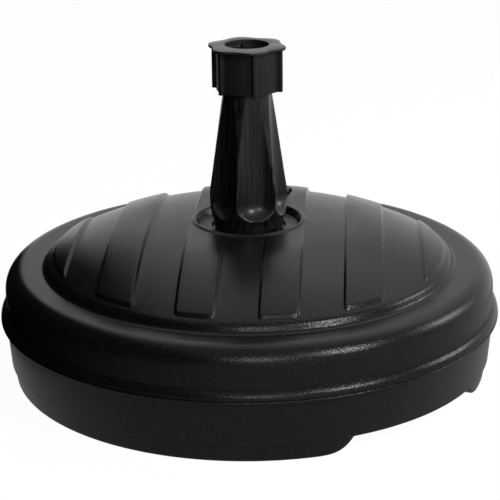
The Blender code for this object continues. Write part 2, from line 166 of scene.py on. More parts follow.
def add_piece(name, parts, material, body, node, crease=radians(50)):
    """One object from skins that share their edges, riding on a body in place of a CAD node."""
    verts, faces = [], []
    for points, polygons in parts:
        first = len(verts)
        verts.extend(map(tuple, points))
        faces.extend(tuple(i + first for i in polygon) for polygon in polygons)
    mesh = bpy.data.meshes.new(name)
    mesh.from_pydata(verts, [], faces)
    form = bmesh.new()
    form.from_mesh(mesh)
    bmesh.ops.remove_doubles(form, verts=form.verts, dist=2e-6)
    bmesh.ops.recalc_face_normals(form, faces=form.faces)
    form.to_mesh(mesh)
    form.free()
    mesh.shade_smooth()
    mesh.set_sharp_from_angle(angle=crease)
    mesh.materials.append(material)
    piece = bpy.data.objects.new(name, mesh)
    bpy.context.scene.collection.objects.link(piece)
    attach(piece, body)
    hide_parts(node)


def node_group(name, inputs, outputs):
    """An empty shader group with number sockets, and its input and output nodes."""
    tree = bpy.data.node_groups.new(name, "ShaderNodeTree")
    number = "NodeSocketFloat"
    for socket, value in inputs:
        entry = tree.interface.new_socket(name=socket, in_out="INPUT", socket_type=number)
        entry.default_value = value
    for socket in outputs:
        tree.interface.new_socket(name=socket, in_out="OUTPUT", socket_type=number)
    return tree, tree.nodes.new("NodeGroupInput"), tree.nodes.new("NodeGroupOutput")


def add_node(tree, kind, settings=None, **values):
    """A node with its settings, and its sockets set to a value or fed from another node's output.

    A socket goes by its name, with _ for a space, or by its number after "in".
    """
    node = tree.nodes.new(kind)
    for setting, value in (settings or {}).items():
        setattr(node, setting, value)
    for socket, value in values.items():
        key = int(socket[2:]) if socket.startswith("in") else socket.replace("_", " ")
        if isinstance(value, bpy.types.NodeSocket):
            tree.links.new(value, node.inputs[key])
        else:
            node.inputs[key].default_value = value
    return node


# Grain that the eroded mould leaves: small rounded cells with a finer tooth on them
grain_group, grain_in, grain_out = node_group(
    "moulding_grain", (("Cells per Metre", 900.0),), ("Height", "Tooth"))
place = add_node(grain_group, "ShaderNodeTexCoord").outputs["Object"]
cells = add_node(grain_group, "ShaderNodeTexVoronoi", {"feature": "SMOOTH_F1"}, Vector=place,
                 Scale=grain_in.outputs["Cells per Metre"], Smoothness=0.6)
tooth = add_node(grain_group, "ShaderNodeTexNoise", Vector=place,
                 Scale=grain_in.outputs["Cells per Metre"], Detail=2.0, Roughness=0.6)
blend = add_node(grain_group, "ShaderNodeMath", {"operation": "MULTIPLY_ADD"},
                 in0=cells.outputs["Distance"], in1=-0.5, in2=tooth.outputs["Fac"])
grain_group.links.new(blend.outputs[0], grain_out.inputs["Height"])
speckle = add_node(grain_group, "ShaderNodeMapRange", Value=tooth.outputs["Fac"],
                   in1=0.35, in2=0.65)
grain_group.links.new(speckle.outputs["Result"], grain_out.inputs["Tooth"])

# Handling: broad cloudy patches where hands and weather have changed the shine
handling_group, handling_in, handling_out = node_group(
    "handling", (("Patches per Metre", 14.0),), ("Patch",))
place = add_node(handling_group, "ShaderNodeTexCoord").outputs["Object"]
cloud = add_node(handling_group, "ShaderNodeTexNoise", Vector=place,
                 Scale=handling_in.outputs["Patches per Metre"], Detail=4.0, Roughness=0.55)
patch = add_node(handling_group, "ShaderNodeMapRange", Value=cloud.outputs["Fac"],
                 in1=0.35, in2=0.65)
handling_group.links.new(patch.outputs["Result"], handling_out.inputs["Patch"])


def new_material(name):
    material = bpy.data.materials.new(name)
    material.use_nodes = True
    return material, material.node_tree, material.node_tree.nodes["Principled BSDF"]


def between(tree, mask, low, high):
    """A value that goes from low to high with a mask."""
    span = add_node(tree, "ShaderNodeMapRange", Value=mask, in3=low, in4=high)
    return span.outputs["Result"]


def shade_between(tree, mask, low, high):
    """A colour that goes from low to high with a mask."""
    mix = add_node(tree, "ShaderNodeMix", {"data_type": "RGBA"}, in0=mask,
                   in6=(*low, 1.0), in7=(*high, 1.0))
    return mix.outputs[2]


def moulded_plastic(name, cells, depth, strength, rough, steep_rough, shades, specular):
    """Moulded plastic or rubber with its grain in bump and shade.

    Its roughness varies with handling, and steep walls have one of their own.
    """
    material, tree, shader = new_material(name)
    grain = add_node(tree, "ShaderNodeGroup", {"node_tree": grain_group})
    grain.inputs["Cells per Metre"].default_value = cells
    marks = add_node(tree, "ShaderNodeGroup", {"node_tree": handling_group})
    bump = add_node(tree, "ShaderNodeBump", Height=grain.outputs["Height"], Strength=strength,
                    Distance=depth)
    tree.links.new(bump.outputs["Normal"], shader.inputs["Normal"])
    facing = add_node(tree, "ShaderNodeTexCoord").outputs["Normal"]
    upward = add_node(tree, "ShaderNodeSeparateXYZ", Vector=facing).outputs["Z"]
    shine = add_node(tree, "ShaderNodeMapRange", Value=upward, in1=0.15, in2=0.45,
                     in3=steep_rough, in4=between(tree, marks.outputs["Patch"], *rough))
    tree.links.new(shine.outputs["Result"], shader.inputs["Roughness"])
    shade = shade_between(tree, grain.outputs["Tooth"], *shades)
    tree.links.new(shade, shader.inputs["Base Color"])
    shader.inputs["Specular IOR Level"].default_value = specular
    return material


shell_plastic = moulded_plastic(
    "grained_black_shell", cells=820.0, depth=0.0005, strength=0.34, rough=(0.20, 0.26),
    steep_rough=0.46, shades=((0.0006, 0.0006, 0.0007), (0.0056, 0.0056, 0.0058)), specular=0.10)
wall_outline = rounded([
    (TONGUE_INNER, TONGUE_FOOT),
    (TONGUE_INNER, TONGUE_TOP),
    (TONGUE_OUTER, TONGUE_TOP),
    (TONGUE_OUTER, PARTING - PARTING_GAP),
    (LIP_RADIUS, PARTING - PARTING_GAP, 0.0014),
    (LIP_RADIUS - 0.0002, LIP_BOTTOM, 0.0008),
    (*LOWER_WALL_TOP, 0.0010),
    (*LOWER_WALL_FOOT, 0.0008),
    (FOOT_ROOT_RADIUS, FLOOR),
])
foot_outline = rounded([
    (FOOT_ROOT_RADIUS, FLOOR),
    (FOOT_RADIUS, 0.0, 0.0026),
    (FOOT_INNER, 0.0, 0.0030),
    (FOOT_INNER - FOOT_INNER_DRAFT, FLOOR, 0.0012),
    (FLOOR_RADIUS, FLOOR),
])
foot_ends = []
run = FOOT_END_RUN / FOOT_RADIUS * np.linspace(0.0, 1.0, FOOT_END_STEPS) ** 1.5
for gap_middle in GAP_MIDDLES:
    foot_ends.append(gap_middle - GAP_HALF - run)
    foot_ends.append(gap_middle + GAP_HALF + run)
lower_turns = np.concatenate([even_turns(SHELL_COLUMNS), *foot_ends]) % (2 * pi)
lower_turns = np.unique(np.round(lower_turns, 6))


def foot_share(turns):
    """How much of the foot's height stands at each turn: none in a hand gap, all along a foot."""
    share = np.ones_like(turns)
    for gap_middle in GAP_MIDDLES:
        away = np.abs((turns - gap_middle + pi) % (2 * pi) - pi)
        along = np.clip((away - GAP_HALF) * FOOT_RADIUS / FOOT_END_RUN, 0.0, 1.0)
        share *= 1 - (1 - along) ** FOOT_END_SWEEP
    return share


share = foot_share(lower_turns)
foot_rows = [(radius, FLOOR + (height - FLOOR) * share) for radius, height in foot_outline]
lower_parts = [rings([*wall_outline, *foot_rows[1:]], lower_turns)]

# The floor seen from below, with the drain, three screw pockets and the marks of the ejector pins
DRAIN_RADIUS = 0.0080
SCREW_TURNS = (0.0, radians(120), radians(240))
SCREW_CIRCLE = 0.0145
POCKET_RADIUS = 0.0046
POCKET_TOP = 0.0192
PIN_RADIUS = 0.0065
PIN_DEPTH = 0.0003
OUTER_PINS = 0.125
INNER_PINS = 0.062
FLOOR_FILL_RADII = (0.03, 0.045, 0.09, 0.155)
pin_places = [around(OUTER_PINS, radians(22.5 + 45 * k)) for k in range(8)]
pin_places += [around(INNER_PINS, radians(30 + 60 * k)) for k in range(6)]
screw_places = [around(SCREW_CIRCLE, turn) for turn in SCREW_TURNS]
pocket_turns = even_turns(32)
drain_turns = even_turns(48)


def floor_height(x, y):
    height = np.full_like(x, FLOOR)
    for place_x, place_y in pin_places:
        away = np.hypot(x - place_x, y - place_y)
        height += PIN_DEPTH * np.clip((PIN_RADIUS - away) / PIN_DEPTH, 0.0, 1.0)
    return height


floor_holes = [circle(DRAIN_RADIUS, drain_turns)]
floor_holes += [circle(POCKET_RADIUS, pocket_turns, p) for p in screw_places]
pin_edges = [(circle(radius, pocket_turns, p), True) for p in pin_places
             for radius in (PIN_RADIUS, PIN_RADIUS - PIN_DEPTH)]
floor_fill = [around(radius, turn) for radius in FLOOR_FILL_RADII for turn in even_turns(24)]
lower_parts.append(plan_sheet(circle(FLOOR_RADIUS, lower_turns), floor_holes, floor_height,
                              pin_edges, floor_fill))
pocket_rows = [(POCKET_RADIUS, FLOOR), (POCKET_RADIUS, POCKET_TOP), (0.0, POCKET_TOP)]
for place_x, place_y in screw_places:
    points, faces = rings(pocket_rows, pocket_turns)
    lower_parts.append((points + (place_x, place_y, 0.0), faces))

# The inside: a post round the well that takes the stem's spigot, the tank's floor and its wall
WELL_FLOOR = 0.0230
POST_BORE = 0.0270
POST_OUTER = 0.0305
POST_TOP = 0.0600
POST_FLOOR_RADIUS = 0.0480
TANK_FLOOR = 0.0195
TANK_FLOOR_RADIUS = 0.1900
lower_parts.append(rings(rounded([
    (DRAIN_RADIUS, FLOOR),
    (DRAIN_RADIUS, WELL_FLOOR),
    (POST_BORE, WELL_FLOOR),
    (POST_BORE, POST_TOP, 0.0005),
    (POST_OUTER, POST_TOP, 0.0005),
    (POST_OUTER, TANK_FLOOR, 0.0020),
    (POST_FLOOR_RADIUS, TANK_FLOOR),
]), drain_turns))
lower_parts.append(rings(rounded([
    (TANK_FLOOR_RADIUS, TANK_FLOOR),
    (0.2135, TANK_FLOOR, 0.0030),
    (0.2166, 0.0500),
    (TONGUE_INNER, TONGUE_FOOT),
]), lower_turns))
lower_parts.append(plan_sheet(circle(TANK_FLOOR_RADIUS, lower_turns),
                              [circle(POST_FLOOR_RADIUS, drain_turns)], TANK_FLOOR))
add_piece("lower_shell_moulding", lower_parts, shell_plastic, "base", "lower_shell")

# Upper shell. The upper half of the tank in the same grained plastic: a shallow dome with six raised
# pads, a dish for the stem, a step down to the rolled rim, and the upper half of the lip. A neck
# behind the stem takes the filler cap.
LIP_TOP = 0.0650
DOME_TOP = 0.1372
DOME_CURVE = 5.27
DECK_EDGE = 0.1770
DECK_RADIUS = 0.1808
SHELF_RADIUS = 0.1846
SHELF = 0.0990
SHOULDER = 0.1003
UPPER_WALL_TOP_RADIUS = 0.2192
UPPER_WALL_FOOT_RADIUS = 0.2198
LIP_BEAD_RADIUS = 0.2208
SHELL_WALL = 0.0035
UPPER_WALL_INNER = 0.2157
UNDER_RADIUS = 0.1720
UNDER_DISH_RADIUS = 0.0520
DISH_FLOOR = 0.1295
DISH_FLOOR_RADIUS = 0.0415
DISH_SLOPE = 1.463
DISH_SEAM = 0.0440
DISH_RADIUS = 0.0464
DISH_RIM_BLEND = 0.0016
DISH_RING = 0.1322
STEM_SEAT_RADIUS = 0.0328
RIM_BEAD_RADIUS = 0.0482
RIM_BEAD_HALF = 0.0036
RIM_BEAD_HEIGHT = 0.0018
WELL_RADIUS = 0.0234
SLEEVE_RADIUS = 0.0266
SLEEVE_FOOT = 0.0400
PAD_EDGES = ((0.0182, 0.0504, 0.0030), (0.0873, 0.1205, 0.0030), (0.1550, 0.1900, 0.0012))
PAD_REACH = 0.1752
PAD_HEIGHT = 0.0046
PAD_DRAFT = radians(24)
PAD_MARGIN = 0.0040
PAD_RIM = 0.0003
PAD_BLEND = 0.0016
PAD_TAPER_START = 0.1200
PAD_TAPER_DROP = 0.0021
PAD_STEP = 0.0030
shell_turns = even_turns(SHELL_COLUMNS)


def dome(radius):
    return DOME_TOP - DOME_CURVE * radius ** 3


# Across a pad's edge: flat deck, a fillet, a sloped wall and a round on top
pad_lean = PAD_HEIGHT / 2 * tan(PAD_DRAFT)
pad_edge = rounded([
    (-PAD_MARGIN, 0.0),
    (-pad_lean, 0.0, 0.0009),
    (pad_lean, PAD_HEIGHT, 0.0010),
    (PAD_MARGIN, PAD_HEIGHT),
], arc=radians(15))


def soft_min(first, second, blend):
    """The lower of two heights, with the crease between them rounded."""
    near = np.maximum(blend - np.abs(first - second), 0.0) / blend
    return np.minimum(first, second) - near ** 2 * blend / 4


def pad_room(radius):
    """How high a pad stands: level with the dish's rim beside it, then full, and less at its end."""
    level = dome(DISH_RADIUS) + PAD_RIM - dome(radius)
    along = np.clip((radius - PAD_TAPER_START) / (PAD_REACH - PAD_TAPER_START), 0.0, 1.0)
    return np.maximum(soft_min(level, PAD_HEIGHT - along * PAD_TAPER_DROP, PAD_BLEND), 0.0)


def pad_depth(x, y):
    """How far inside the nearest pad's edge each place is, below zero outside every pad."""
    depth = np.full_like(x, -1.0)
    for inner, outer, corner in PAD_EDGES:
        side = np.maximum(inner - np.abs(x), np.abs(x) - outer)
        end = np.hypot(x, y) - PAD_REACH
        turned = np.hypot(np.maximum(side + corner, 0.0), np.maximum(end + corner, 0.0)) - corner
        away = np.where((side > -corner) & (end > -corner), turned, np.maximum(side, end))
        depth = np.maximum(depth, -away)
    return depth


def spaced(start, end):
    """Points on a straight line, no further apart than the pads' step."""
    start, end = np.array(start), np.array(end)
    count = max(2, ceil(np.linalg.norm(end - start) / PAD_STEP))
    return start + (end - start) * np.linspace(0.0, 1.0, count)[:, None]


def pad_line(inner, outer, corner, depth):
    """The line round the pad on the right at this depth inside its edge."""
    swing = max(corner - depth, 0.0)
    bends = np.linspace(0.0, pi / 2, 6) if swing > 0.0002 else np.zeros(1)
    across = swing * np.cos(bends) - max(corner, depth)
    reach = PAD_REACH + swing * np.sin(bends) - max(corner, depth)

    def bend(x):
        return np.column_stack((x, -np.sqrt(reach ** 2 - x ** 2)))

    near = bend(inner - across)
    if outer < PAD_REACH:
        far = bend(outer + across)[::-1]
        last = atan2(far[0, 0], -far[0, 1])
        side = spaced(far[-1], far[-1] * (1, -1))[1:-1]
    else:
        far = np.empty((0, 2))
        last = pi / 2
        side = np.array([(PAD_REACH - depth, 0.0)])
    first = atan2(near[-1, 0], -near[-1, 1])
    count = max(2, ceil((last - first) * PAD_REACH / PAD_STEP))
    end = circle(PAD_REACH - depth, np.linspace(first, last, count + 1)[1:-1])
    front = np.vstack((near, end, far))
    back = front[::-1] * (1, -1)
    return np.vstack((front, side, back, spaced(back[-1], front[0])[1:-1]))


# The filler's seat and neck stand square on the slope of the dome, behind the stem
FILLER_OUT = 0.0880
SEAT_RADIUS = 0.0358
SEAT_DEPTH = 0.0015
SEAT_INNER_STEP = 0.0310
SEAT_EDGE = np.array([-0.0008, -0.0003, -0.0001, 0.0002, 0.0008])
SEAT_EDGE_RISE = (0.0, 0.05, 0.5, 0.95, 1.0)
SEAT_COLUMNS = 96
NECK_BORE = 0.0240
NECK_OUTER = 0.0275
NECK_ROOT = -0.0042
NECK_END = -0.0140
filler_tilt = np.arctan(3 * DOME_CURVE * FILLER_OUT ** 2)
filler_frame = Matrix.Translation((0.0, FILLER_OUT, dome(FILLER_OUT)))
filler_frame = filler_frame @ Matrix.Rotation(-filler_tilt, 4, "X")
seat_middle = filler_frame @ Vector((0.0, 0.0, -SEAT_DEPTH))
seat_turns = even_turns(SEAT_COLUMNS)


def in_filler_frame(points):
    matrix = np.array(filler_frame)
    return np.asarray(points) @ matrix[:3, :3].T + matrix[:3, 3]


def seat_away(x, y):
    return np.hypot(x, (y - seat_middle.y) / cos(filler_tilt))


def seat_ring(radius):
    x, y = around(radius, seat_turns)
    return np.column_stack((x, seat_middle.y + y * cos(filler_tilt)))


def deck_height(x, y):
    """The dome with its pads, cut by the dish round the stem and by the filler's seat."""
    radius = np.hypot(x, y)
    rise = np.interp(pad_depth(x, y), pad_edge[:, 0], pad_edge[:, 1] / PAD_HEIGHT)
    wall = DISH_FLOOR + (radius - DISH_FLOOR_RADIUS) * DISH_SLOPE
    bead = 1 - ((radius - RIM_BEAD_RADIUS) / RIM_BEAD_HALF) ** 2
    bead = RIM_BEAD_HEIGHT * np.maximum(bead, 0.0)
    raised = dome(radius) + np.maximum(rise * pad_room(radius), bead)
    deck = soft_min(raised, wall, DISH_RIM_BLEND)
    seat = np.minimum(seat_middle.z - (y - seat_middle.y) * tan(filler_tilt), deck)
    lift = np.interp(seat_away(x, y), SEAT_RADIUS + SEAT_EDGE, SEAT_EDGE_RISE)
    return seat + (deck - seat) * lift


def kept_runs(line, keep):
    """The stretches of a closed line that are kept, each with whether it is still closed."""
    if keep.all():
        return [(line, True)]
    start = int(np.argmin(keep))
    line, keep = np.roll(line, -start, axis=0), np.roll(keep, -start)
    breaks = np.flatnonzero(np.diff(keep.astype(int))) + 1
    parts = zip(np.split(line, breaks), np.split(keep, breaks))
    return [(part, False) for part, kept in parts if kept[0] and len(part) > 1]


# The deck's mesh follows the dish's rim, the seat's edge and the pads' edges, with a grid between
PAD_LINE_DISH_CLEAR = 0.0526
PAD_LINE_SEAT_CLEAR = 0.0370
GRID_STEP = 0.007
GRID_HALF = 0.175
GRID_RADIUS = 0.1755
GRID_DISH_CLEAR = 0.0550
GRID_SEAT_CLEAR = 0.0400
GRID_PAD_CLEAR = 0.0035
dish_rims = [0.0449, *np.linspace(0.0454, 0.0475, 8), *np.linspace(0.0480, 0.0520, 9)]
creases = [(circle(radius, shell_turns), True) for radius in dish_rims]
seat_steps = (SEAT_INNER_STEP, *(SEAT_RADIUS + SEAT_EDGE))
creases += [(seat_ring(radius), True) for radius in seat_steps]
for strip in PAD_EDGES:
    for depth in pad_edge[1:-1, 0]:
        right = pad_line(*strip, depth)
        for line in (right, right * (-1, 1)):
            kept = np.hypot(*line.T) > PAD_LINE_DISH_CLEAR
            kept &= seat_away(*line.T) > PAD_LINE_SEAT_CLEAR
            creases += kept_runs(line, kept)
grid_steps = np.arange(-GRID_HALF, GRID_HALF + 0.001, GRID_STEP)
grid = np.stack(np.meshgrid(grid_steps, grid_steps), -1).reshape(-1, 2)
grid_away = np.hypot(*grid.T)
clear = (grid_away < GRID_RADIUS) & (grid_away > GRID_DISH_CLEAR)
clear &= seat_away(*grid.T) > GRID_SEAT_CLEAR
clear &= np.abs(pad_depth(*grid.T)) > GRID_PAD_CLEAR
deck_holes = [circle(DISH_SEAM, shell_turns), seat_ring(NECK_BORE)]
deck_sheet = plan_sheet(circle(DECK_EDGE, shell_turns), deck_holes, deck_height, creases,
                        grid[clear])
rim_outline = rounded([
    (DECK_EDGE, dome(DECK_EDGE)),
    (DECK_RADIUS, dome(DECK_RADIUS), 0.0080),
    (SHELF_RADIUS, SHELF, 0.0050),
    (UPPER_WALL_TOP_RADIUS, SHOULDER, 0.0170),
    (UPPER_WALL_FOOT_RADIUS, LIP_TOP + 0.0002, 0.0003),
    (LIP_BEAD_RADIUS, LIP_TOP, 0.0005),
    (LIP_RADIUS - 0.0006, LIP_TOP - 0.0036, 0.0088),
    (LIP_RADIUS - 0.0003, PARTING, 0.0007),
    (UPPER_WALL_INNER, PARTING),
    (UPPER_WALL_INNER, SHOULDER - SHELL_WALL, 0.0135),
    (SHELF_RADIUS - 0.0018, SHELF - SHELL_WALL, 0.0030),
    (0.1765, dome(0.1800) - SHELL_WALL, 0.0030),
    (UNDER_RADIUS, dome(UNDER_RADIUS) - SHELL_WALL),
], arc=radians(9))
dish_outline = rounded([
    (UNDER_DISH_RADIUS, dome(UNDER_DISH_RADIUS) - SHELL_WALL),
    (0.0499, DISH_FLOOR),
    (0.0433, DISH_FLOOR - SHELL_WALL),
    (SLEEVE_RADIUS, DISH_FLOOR - SHELL_WALL),
    (SLEEVE_RADIUS, SLEEVE_FOOT),
    (WELL_RADIUS, SLEEVE_FOOT),
    (WELL_RADIUS, DISH_FLOOR, 0.0010),
    (STEM_SEAT_RADIUS, DISH_FLOOR),
    (STEM_SEAT_RADIUS + 0.0002, DISH_RING, 0.0008),
    (DISH_FLOOR_RADIUS + (DISH_RING - DISH_FLOOR) / DISH_SLOPE, DISH_RING, 0.0010),
    (DISH_SEAM, DISH_FLOOR + (DISH_SEAM - DISH_FLOOR_RADIUS) * DISH_SLOPE),
])


def under_height(x, y):
    return dome(np.hypot(x, y)) - SHELL_WALL


# The underside of the dome, and the neck that hangs from it
UNDER_FILL_RADII = (0.075, 0.1, 0.125, 0.15)
UNDER_FILL_CLEAR = 0.035
neck_x, neck_y = around(NECK_OUTER, seat_turns)
neck_top = np.column_stack((neck_x, neck_y, np.full(SEAT_COLUMNS, NECK_ROOT)))
neck_top = in_filler_frame(neck_top)
neck_top[:, 2] = under_height(neck_top[:, 0], neck_top[:, 1])
under_fill = [around(radius, turn) for radius in UNDER_FILL_RADII for turn in even_turns(60)]
under_fill = [(x, y) for x, y in under_fill if abs(x) > UNDER_FILL_CLEAR or y < 0.0]
under_holes = [circle(UNDER_DISH_RADIUS, shell_turns), neck_top[:, :2]]
under_sheet = plan_sheet(circle(UNDER_RADIUS, shell_turns), under_holes, under_height,
                         fill=under_fill)
neck_rows = [(NECK_BORE, -SEAT_DEPTH), (NECK_BORE, NECK_END), (NECK_OUTER, NECK_END),
             (NECK_OUTER, NECK_ROOT)]
neck_skin, neck_faces = rings(neck_rows, seat_turns)
neck_skin = in_filler_frame(neck_skin)
neck_skin[-SEAT_COLUMNS:] = neck_top
upper_parts = [deck_sheet, rings(rim_outline, shell_turns), rings(dish_outline, shell_turns),
               under_sheet, (neck_skin, neck_faces)]
add_piece("upper_shell_moulding", upper_parts, shell_plastic, "base", "upper_shell")

# Stem tube. One smooth, shinier black moulding that takes the pole: a tapered tube with six scooped
# flutes that end in round hollows, a foot that stands in the dish, and a spigot down the well.
# The polished mould leaves fine lines along it, where it is drawn out.
POLE_RADIUS = 0.0191
POLE_SEAT = 0.0303
SPIGOT_RADIUS = 0.0230
SPIGOT_FOOT = 0.0233
STEM_FOOT = 0.1298
STEM_NECK_RADIUS = 0.0240
STEM_NECK_FOOT = 0.2595
STEM_TOP = 0.2810
MOUTH_RADIUS = 0.0224
MOUTH_FOOT = 0.2620
FLUTE_TURN = radians(16.5)
FLUTE_RADIUS = 0.0220
FLUTE_END = 0.1576
FLUTE_END_HEIGHT = 0.0160
FLUTE_TOP = 0.2580
FLUTE_FLOOR_END = 0.0226
FLUTE_FLOOR_TOP = 0.0210
FLUTE_EDGE = 0.0012
stem_turns = even_turns(240)
stem_outline = rounded([
    (0.0300, STEM_FOOT),
    (0.0318, 0.1385, 0.008),
    (0.0347, 0.1510, 0.008),
    (0.0353, 0.1650, 0.015),
    (0.0212, 0.2555),
    (STEM_NECK_RADIUS, STEM_NECK_FOOT),
])


def stem_radius(height):
    """The stem's radius at each turn: its tapered outside, scooped by the flutes."""
    outside = np.interp(height, stem_outline[:, 1], stem_outline[:, 0])
    share = (height - FLUTE_END) / (FLUTE_TOP - FLUTE_END)
    floor = FLUTE_FLOOR_END + (FLUTE_FLOOR_TOP - FLUTE_FLOOR_END) * share
    middle = floor + FLUTE_RADIUS
    past_end = max(FLUTE_END - height, 0.0) / FLUTE_END_HEIGHT
    turn = (stem_turns - FLUTE_TURN + pi / 6) % (pi / 3) - pi / 6
    inside = FLUTE_RADIUS ** 2 * (1 - past_end ** 2) - (middle * np.sin(turn)) ** 2
    scoop = middle * np.cos(turn) - np.sqrt(np.maximum(inside, 0.0))
    return soft_min(np.where(inside > 0.0, scoop, 1.0), outside, FLUTE_EDGE)


stem_heights = np.concatenate((
    np.linspace(STEM_FOOT, 0.1380, 8)[:-1],
    np.linspace(0.1380, 0.1720, 46)[:-1],
    np.linspace(0.1720, STEM_NECK_FOOT, 64),
))
stem_rows = [(DRAIN_RADIUS, SPIGOT_FOOT), (SPIGOT_RADIUS, SPIGOT_FOOT), (SPIGOT_RADIUS, STEM_FOOT)]
stem_rows += [(stem_radius(height), height) for height in stem_heights]
stem_rows += list(rounded([
    (STEM_NECK_RADIUS, STEM_NECK_FOOT),
    (STEM_NECK_RADIUS, STEM_TOP, 0.0006),
    (MOUTH_RADIUS, STEM_TOP, 0.0004),
    (POLE_RADIUS, MOUTH_FOOT),
    (POLE_RADIUS, POLE_SEAT),
    (DRAIN_RADIUS, POLE_SEAT),
    (DRAIN_RADIUS, SPIGOT_FOOT),
])[1:])
stem_plastic, tree, shader = new_material("smooth_black_stem")
place = add_node(tree, "ShaderNodeTexCoord").outputs["Object"]
drawn = add_node(tree, "ShaderNodeMapping", Vector=place, Scale=(1.0, 1.0, 0.03))
streaks = add_node(tree, "ShaderNodeTexNoise", Vector=drawn.outputs["Vector"], Scale=420.0,
                   Detail=3.0, Roughness=0.65).outputs["Fac"]
bump = add_node(tree, "ShaderNodeBump", Height=streaks, Strength=0.40, Distance=0.0002)
drawn_lines = add_node(tree, "ShaderNodeMapRange", Value=streaks, in1=0.35, in2=0.65)
stem_shade = shade_between(tree, drawn_lines.outputs["Result"], (0.0004, 0.0004, 0.0005),
                           (0.0090, 0.0090, 0.0092))
tree.links.new(bump.outputs["Normal"], shader.inputs["Normal"])
tree.links.new(between(tree, streaks, 0.20, 0.45), shader.inputs["Roughness"])
tree.links.new(stem_shade, shader.inputs["Base Color"])
shader.inputs["Specular IOR Level"].default_value = 0.18
add_piece("stem_moulding", [rings(stem_rows, stem_turns)], stem_plastic, "base", "stem_tube")

# Stem screws. Three zinc-plated pan-head screws with a cross recess, driven up from below through
# the well's floor into the foot of the stem.
SCREW_FACE = 0.0031
SCREW_HEAD = 0.0040
SCREW_HEAD_FOOT = 0.0165
SCREW_HEAD_TOP = 0.0189
SHANK_RADIUS = 0.0018
CROSS_REACH = 0.0023
CROSS_HALF = 0.00055
CROSS_DEPTH = 0.0013
recess_top = SCREW_HEAD_FOOT + CROSS_DEPTH
screw_turns = even_turns(40)
screw_skin = rings(rounded([
    (SCREW_FACE, SCREW_HEAD_FOOT),
    (SCREW_HEAD, SCREW_HEAD_FOOT + 0.0002, 0.0009),
    (SCREW_HEAD, SCREW_HEAD_TOP, 0.0002),
    (SHANK_RADIUS, SCREW_HEAD_TOP),
    (SHANK_RADIUS, 0.0270),
    (0.0007, 0.0290),
    (0.0, 0.0290),
]), screw_turns)
arm = [(CROSS_REACH, -CROSS_HALF), (CROSS_REACH, CROSS_HALF), (CROSS_HALF, CROSS_HALF)]
cross = []
for quarter in range(4):
    spin = Matrix.Rotation(quarter * pi / 2, 2)
    cross += [spin @ Vector(p) for p in arm]
cross = np.array(cross)


def stacked(outlines):
    """A skin through outlines (plan, height) with the same number of points."""
    count = len(outlines[0][0])
    points = [np.column_stack((plan, np.full(count, height))) for plan, height in outlines]
    return np.vstack(points), skin_faces(len(outlines), count)


head_face = plan_sheet(circle(SCREW_FACE, screw_turns), [cross], SCREW_HEAD_FOOT)
recess_foot = plan_sheet(cross, [], recess_top)
recess_wall = stacked([(cross, SCREW_HEAD_FOOT), (cross, recess_top)])
zinc, tree, shader = new_material("zinc_plated_steel")
marks = add_node(tree, "ShaderNodeGroup", {"node_tree": handling_group})
marks.inputs["Patches per Metre"].default_value = 300.0
zinc_shade = shade_between(tree, marks.outputs["Patch"], (0.50, 0.50, 0.49), (0.62, 0.62, 0.60))
tree.links.new(between(tree, marks.outputs["Patch"], 0.28, 0.42), shader.inputs["Roughness"])
tree.links.new(zinc_shade, shader.inputs["Base Color"])
shader.inputs["Metallic"].default_value = 1.0
for number, (place_x, place_y) in enumerate(screw_places, 1):
    screw_parts = [(points + (place_x, place_y, 0.0), faces) for points, faces in
                   (screw_skin, head_face, recess_foot, recess_wall)]
    add_piece(f"cross_head_screw_{number}", screw_parts, zinc, "base", f"stem_screw_{number}",
              radians(35))

# Clamp collet. A split ring in satin black plastic that sits under the nut's plate. The nut pushes its
# six fingers down into the stem's conical mouth, and they close on the pole.
COLLET_FOOT = 0.2730
COLLET_TOP = 0.2917
COLLAR_FOOT = 0.2868
COLLAR_RADIUS = 0.0239
COLLAR_INNER = 0.0212
FINGER_OUTER = 0.0211
FINGER_TIP = 0.0198
FINGER_TAPER = 0.2810
SLOT_TOP = 0.2888
SLOT_HALF = 0.0010
SLOT_RADIUS = 0.0210
SLOT_TURN = radians(17)
FINGERS = 6
satin_shades = ((0.0025, 0.0025, 0.0026), (0.0045, 0.0045, 0.0046))
satin_plastic = moulded_plastic(
    "satin_black_clamp", cells=1400.0, depth=0.0002, strength=0.16, rough=(0.24, 0.34),
    steep_rough=0.52, shades=satin_shades, specular=0.16)


def arc_block(outline, start, end, count):
    """A closed section swept part of the way round, with its two ends closed."""
    turns = np.linspace(start, end, count)
    points, faces = rings(np.vstack((outline, outline[:1])), turns, wrap=False)
    rows = range(len(outline))
    faces.append(tuple(i * count for i in rows))
    faces.append(tuple(i * count + count - 1 for i in reversed(rows)))
    return points, faces


collar_section = rounded([
    (POLE_RADIUS, SLOT_TOP),
    (POLE_RADIUS, COLLET_TOP, 0.0010),
    (COLLAR_RADIUS, COLLET_TOP, 0.0005),
    (COLLAR_RADIUS, COLLAR_FOOT, 0.0003),
    (COLLAR_INNER, COLLAR_FOOT),
    (COLLAR_INNER, SLOT_TOP),
], True)
finger_section = rounded([
    (POLE_RADIUS, COLLET_FOOT),
    (POLE_RADIUS, SLOT_TOP + 0.0002),
    (FINGER_OUTER, SLOT_TOP + 0.0002),
    (FINGER_OUTER, FINGER_TAPER),
    (FINGER_TIP, COLLET_FOOT),
], True)
slot_swing = SLOT_HALF / SLOT_RADIUS
finger_swing = 2 * pi / FINGERS
split_turn = SLOT_TURN + pi
collet_parts = [arc_block(collar_section, split_turn + slot_swing,
                          split_turn + 2 * pi - slot_swing, 120)]
for k in range(FINGERS):
    first = SLOT_TURN + k * finger_swing
    collet_parts.append(arc_block(finger_section, first + slot_swing,
                                  first + finger_swing - slot_swing, 20))
add_piece("split_collet", collet_parts, satin_plastic, "clamp", "clamp_collet",
          radians(35))

